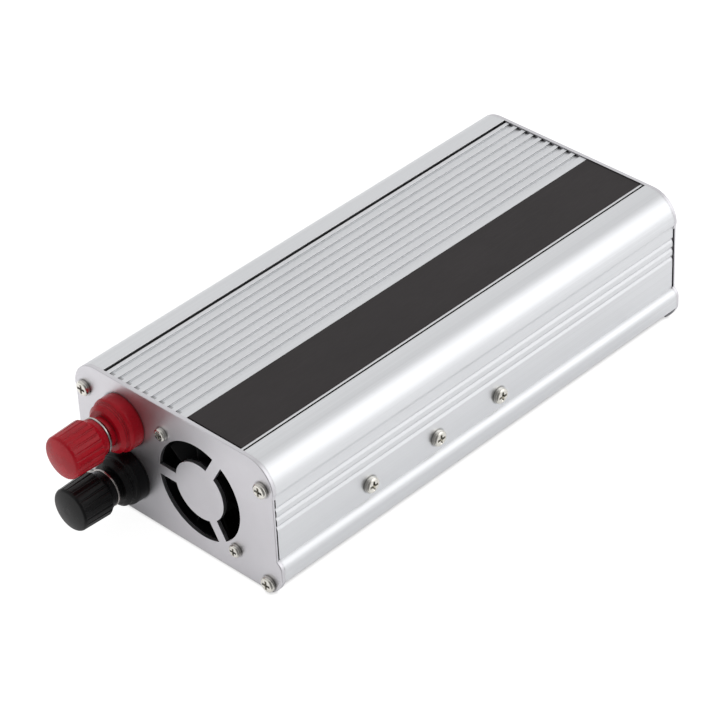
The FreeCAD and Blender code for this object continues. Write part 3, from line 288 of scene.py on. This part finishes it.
def sleeved(name, sleeve, top_z):
    """A capacitor: a rippled shrink sleeve, and bare aluminium above top_z."""
    look = Look(name, 0.3)
    bare = look.calc("GREATER_THAN", look.axis("Z"), top_z)
    ripple = look.noise(1.2 * MM, (1, 1, 0.3), 2)
    tone = look.mix(look.span(ripple, 0.3, 0.7), sleeve, scaled(sleeve, 1.6))
    look.set("Base Color", look.mix(bare, tone, (0.72, 0.73, 0.74)))
    look.set("Metallic", bare)
    look.set("Roughness", look.span(ripple, 0.3, 0.7, 0.22, 0.38))
    look.bump(ripple, 0.02 * MM, look.rounded_normal(0.2 * MM))
    return look


WAVE_PERIOD = 1 / 3.14  # about the length of one period of Blender's wave texture at scale 1


def wound(name, color, turn, metallic=0.0, roughness=0.35):
    """Layers of tape or turns of wire, one every turn metres up the winding."""
    look = Look(name, roughness, metallic)
    waves = look.node("TexWave", bands_direction="Z")
    look.feed(waves.inputs["Vector"], look.place)
    look.feed(waves.inputs["Scale"], WAVE_PERIOD / turn)
    look.feed(waves.inputs["Distortion"], 0.6)
    crest = waves.outputs["Fac"]
    stain = look.noise(5 * MM, detail=3)
    tone = look.mix(look.span(stain, 0.35, 0.7), color, scaled(color, 0.7))
    # painted shade in the hollows between the turns and layers, where the crest is low
    look.set("Base Color", look.mix(look.span(crest, 0.0, 0.3, 0.5, 0), tone, scaled(color, 0.3)))
    look.bump(crest, 0.05 * MM, look.rounded_normal(0.2 * MM))
    return look


def translucent(name, color):
    """Diffused lamp or fuse plastic: milky, glossy and a little see-through."""
    look = Look(name, 0.22, Transmission_Weight=0.45, IOR=1.5)
    haze = look.noise(0.8 * MM, detail=3)
    look.set("Base Color", look.mix(look.span(haze, 0.35, 0.65), color, scaled(color, 0.75)))
    look.set("Roughness", look.span(haze, 0.3, 0.7, 0.16, 0.3))
    look.bump(haze, 0.01 * MM)
    return look


def switch_marks(look, centre, paint):
    """A painted bar above the rocker's middle and a ring below it, as on any mains rocker."""
    offset = 4.6 * MM
    bar_half_w, bar_half_l = 0.28 * MM, 1.5 * MM
    ring_r, ring_half_w = 1.35 * MM, 0.24 * MM

    def painted(distance, half_width, fade=0.08 * MM):
        """1 within half_width of where distance is 0, with a soft edge."""
        return look.span(look.calc("ABSOLUTE", distance), half_width, half_width + fade, 1, 0)

    x = look.calc("SUBTRACT", look.axis("X"), centre.x)
    z = look.calc("SUBTRACT", look.axis("Z"), centre.z)
    above = look.calc("SUBTRACT", z, offset)
    below = look.calc("ADD", z, offset)
    squares = look.calc("ADD", look.calc("MULTIPLY", x, x), look.calc("MULTIPLY", below, below))
    off_ring = look.calc("SUBTRACT", look.calc("SQRT", squares), ring_r)
    bar = look.calc("MULTIPLY", painted(x, bar_half_w), painted(above, bar_half_l, 0.1 * MM))
    look.stain(look.calc("MAXIMUM", bar, painted(off_ring, ring_half_w)), paint)


def paint_lid_shade(look, joint_x, low, high):
    """Painted shade, near black, in the sliding joints beyond joint_x and in the groove ends at the
    battery end.
    """
    joint = look.calc("GREATER_THAN", look.calc("ABSOLUTE", look.axis("X")), joint_x)
    end = look.span(look.axis("Y"), low.y + 1.6 * MM, low.y + 2.3 * MM, 0.42, 0)
    sunk = look.calc("LESS_THAN", look.axis("Z"), high.z - 0.3 * MM)
    mask = look.calc("MAXIMUM", joint, look.calc("MULTIPLY", end, sunk))
    look.stain(mask, (0.03, 0.028, 0.026))


def apply_look(node, look):
    for place in frame["nodes"][node].material_slots:
        place.material = look.material


CASE_COLOR = (0.80, 0.81, 0.83)
CASE_ROUGHNESS = 0.40
SWITCH_COLOR = (0.014, 0.014, 0.015)
SLEEVE_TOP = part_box("main_board")[1].z + 24.3 * MM  # where a capacitor's bare can starts
BARE_EDGE = 0.95 * MM  # width of the lid left free of painted shade between the strip and the joint beside it

looks = {
    "case_aluminium": extruded("anodised_case", CASE_COLOR, CASE_ROUGHNESS),
    "plate_aluminium": sheet("end_plate_sheet", (0.71, 0.70, 0.73), 0.40),
    "dark_strip": film("dark_strip_film", (0.026, 0.021, 0.022), 0.5),
    "screw_steel": plated("nickel_screws", (0.86, 0.84, 0.78), 0.18),
    "bright_nickel": plated("nickel_washer", (0.62, 0.58, 0.56), 0.22),
    "stud_brass": plated("plated_brass", (0.78, 0.68, 0.46), 0.24),
    "tinned_copper": plated("tinned_copper", (0.70, 0.68, 0.64), 0.34),
    "red_plastic": moulded("red_moulding", (0.43, 0.004, 0.014), 0.27, edge=(0.7, 0.3, 0.3), shine=0.24),
    "black_plastic": moulded("black_moulding", (0.006, 0.006, 0.0065), 0.3, shine=0.22),
    "fan_plastic": moulded("fan_moulding", (0.005, 0.005, 0.0055), 0.5, shine=0.12),
    "silicon_steel": spun_metal("stator_laminations", (0.32, 0.32, 0.34), 0.4),
    "coil_copper": wound("enamelled_copper", (0.55, 0.20, 0.07), 0.5 * MM, 0.9, 0.3),
    "magnet_ferrite": moulded("bonded_magnet", (0.035, 0.035, 0.04), 0.6),
    "bearing_bronze": spun_metal("sintered_bronze", (0.45, 0.30, 0.15), 0.5),
    "shaft_steel": spun_metal("ground_steel", (0.62, 0.62, 0.63), 0.2),
    "wire_red": moulded("red_wire_jacket", (0.42, 0.02, 0.02), 0.42),
    "wire_black": moulded("black_wire_jacket", (0.015, 0.015, 0.015), 0.42),
    "insulator_nylon": moulded("nylon_insulator", (0.66, 0.62, 0.52), 0.45),
    "grey_pad": moulded("thermal_silicone", (0.22, 0.28, 0.31), 0.7, grain=0.6 * MM, depth=0.03 * MM),
    "clamp_steel": sheet("zinc_clamp", (0.55, 0.56, 0.58), 0.35),
    "epoxy_black": moulded("epoxy_package", (0.02, 0.02, 0.022), 0.55),
    "board_green": board("green_board", (0.01, 0.09, 0.035)),
    "can_sleeve": sleeved("capacitor_sleeve", (0.012, 0.016, 0.035), SLEEVE_TOP),
    "ferrite": moulded("sintered_ferrite", (0.04, 0.04, 0.042), 0.5, grain=0.5 * MM, depth=0.03 * MM),
    "yellow_tape": wound("polyester_tape", (0.70, 0.47, 0.03), 0.9 * MM),
    "choke_yellow": moulded("coated_iron_powder", (0.62, 0.50, 0.10), 0.5),
    "film_red": moulded("dipped_capacitor", (0.30, 0.04, 0.02), 0.25, depth=0.03 * MM, grain=2 * MM),
    "fuse_green": translucent("fuse_plastic", (0.03, 0.40, 0.12)),
    "socket_black": moulded("socket_moulding", (0.02, 0.02, 0.021), 0.48),
    "switch_black": moulded("switch_moulding", SWITCH_COLOR, 0.33),
    "led_green": translucent("green_lamp", (0.05, 0.55, 0.08)),
    "led_red": translucent("red_lamp", (0.70, 0.03, 0.02)),
    "usb_nickel": plated("usb_shell_plate", (0.76, 0.76, 0.76), 0.22),
    "usb_white": moulded("usb_insulator", (0.78, 0.78, 0.75), 0.4, edge=(0.9, 0.9, 0.9)),
    "gold_contact": plated("gold_flash", (0.86, 0.62, 0.22), 0.2),
}

for part in frame["record"]["subparts"]:
    apply_look(part["node"], looks[part["material_slot"]])

# The lid is the case's metal with painted shade in its joints and groove ends, and the rocker is the
# switch's plastic with its marks.
lid_look = extruded("anodised_lid", CASE_COLOR, CASE_ROUGHNESS)
paint_lid_shade(lid_look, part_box("decor_strip")[1].x + BARE_EDGE, *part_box("top_lid"))
apply_look("top_lid", lid_look)

rocker_low, rocker_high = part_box("switch_rocker")
rocker_look = moulded("rocker_moulding", SWITCH_COLOR, 0.3)
switch_marks(rocker_look, (rocker_low + rocker_high) / 2, (0.8, 0.8, 0.78))
apply_look("switch_rocker", rocker_look)


# ---- Studio -------------------------------------------------------------------------------------


def floor_look(azimuth):
    """A pale glow, even to the camera but for a thin painted contact shadow along the part's edges.
    Reflected, it is painted dark toward the camera and carries a painted shadow close to the part.
    """
    look = Look("pale_floor", 0.8, Specular_IOR_Level=0.1, Emission_Color=(1.0, 1.0, 1.0))
    incoming = look.node("NewGeometry").outputs["Incoming"]
    sine, cosine = math.sin(math.radians(azimuth)), math.cos(math.radians(azimuth))
    to_camera = look.dot(incoming, (-sine, cosine, 0))
    to_left = look.dot(incoming, (cosine, sine, 0))
    ray = look.node("LightPath").outputs
    # painted dark reflection: the floor, as the part reflects it, darkens toward the camera
    dark = look.calc("MULTIPLY", look.span(to_camera, 0.45, 0.85), ray["Is Glossy Ray"])
    tone = look.mix(look.noise(0.5), (0.84, 0.84, 0.845), (0.86, 0.86, 0.86))
    tone = look.mix(ray["Is Camera Ray"], tone, (0.3, 0.3, 0.3))
    look.set("Base Color", look.mix(dark, tone, (0.05, 0.05, 0.055)))
    # painted shadow on the floor's glow close to the part, for reflected rays
    painted_shadow_beside_part = look.span(look.openness(30 * MM, 8), 0, look.span(to_left, 0, 0.6, 1, 0.65))
    glow = look.calc("MULTIPLY", look.span(to_left, -0.8, 0.8, 0.36, 0.46), painted_shadow_beside_part)
    glow = look.calc("SUBTRACT", glow, look.calc("MULTIPLY", dark, 0.26))
    # painted contact shadow: a thin dimming of the glow the camera sees along the part's edges
    painted_contact_shadow = look.span(look.openness(1.5 * MM, 8), 0.2, 0.8, 0.5, 0.93)
    seen = look.calc("MULTIPLY", ray["Is Camera Ray"], painted_contact_shadow)
    look.set("Emission Strength", look.calc("MAXIMUM", glow, seen))
    return look


def make_floor(azimuth):
    """A square table top, a hair below the part's feet."""
    reach = 3.0
    mesh = bpy.data.meshes.new("floor")
    corners = [(-reach, -reach, 0), (reach, -reach, 0), (reach, reach, 0), (-reach, reach, 0)]
    mesh.from_pydata(corners, [], [(0, 1, 2, 3)])
    mesh.materials.append(floor_look(azimuth).material)
    floor = bpy.data.objects.new("floor", mesh)
    bpy.context.scene.collection.objects.link(floor)
    floor.location.z = -0.05 * MM


def make_sky(base, panels):
    """A white room with soft panels: (direction, inner degrees, outer degrees, added brightness)."""
    world = bpy.data.worlds.new("studio")
    bpy.context.scene.world = world
    world.use_nodes = True
    sky = Nodes(world.node_tree)
    background = sky.tree.nodes["Background"]
    sky.feed(background.inputs["Color"], (1.0, 1.0, 1.0))
    way = sky.node("TexCoord").outputs["Generated"]
    total = base
    for direction, inner, outer, bright in panels:
        near = sky.dot(way, Vector(direction).normalized())
        edge, middle = math.cos(math.radians(outer)), math.cos(math.radians(inner))
        panel = sky.span(near, edge, middle, 0.0, bright, interpolation_type="SMOOTHSTEP")
        total = sky.calc("ADD", panel, total)
    camera_ray = sky.node("LightPath").outputs["Is Camera Ray"]
    sky.feed(background.inputs["Strength"], sky.calc("MAXIMUM", total, camera_ray))


def make_camera(azimuth, elevation, roll, distance, target, lens):
    """azimuth 0 looks along +Y; angles in degrees, the lens in millimetres."""
    a, e, r = (math.radians(angle) for angle in (azimuth, elevation, roll))
    back = Vector((math.sin(a) * math.cos(e), -math.cos(a) * math.cos(e), math.sin(e)))
    right = Vector((math.cos(a), math.sin(a), 0.0))
    up = back.cross(right)
    across = right * math.cos(r) + up * math.sin(r)
    upward = up * math.cos(r) - right * math.sin(r)
    data = bpy.data.cameras.new("camera")
    data.sensor_width = 36.0
    data.lens = lens
    data.clip_start = 0.01
    camera = bpy.data.objects.new("camera", data)
    bpy.context.scene.collection.objects.link(camera)
    turned = Matrix((across, upward, back)).transposed()
    camera.matrix_world = Matrix.Translation(target + back * distance) @ turned.to_4x4()
    bpy.context.scene.camera = camera


AZIMUTH, ELEVATION, ROLL = 45.3, 36.61, -2.85
DISTANCE, LENS = 1.14408, 163.37
TARGET = Vector((-8.9, -4.34, 14.59)) * MM

SKY_BASE = 0.62
SKY_PANELS = [
    ((-0.57, 0.57, 0.60), 10, 45, 0.22),  # a soft panel over the far side, for the top
    ((0.70, 0.565, 0.47), 12, 41, 0.95),  # the main panel, for the shoulder and the right wall
    ((0.66, -0.66, 0.35), 20, 55, -0.45),  # the dark end of the room, behind the camera
]

make_floor(AZIMUTH)
make_sky(SKY_BASE, SKY_PANELS)
make_camera(AZIMUTH, ELEVATION, ROLL, DISTANCE, TARGET, LENS)
bpy.context.scene.view_settings.view_transform = "Standard"
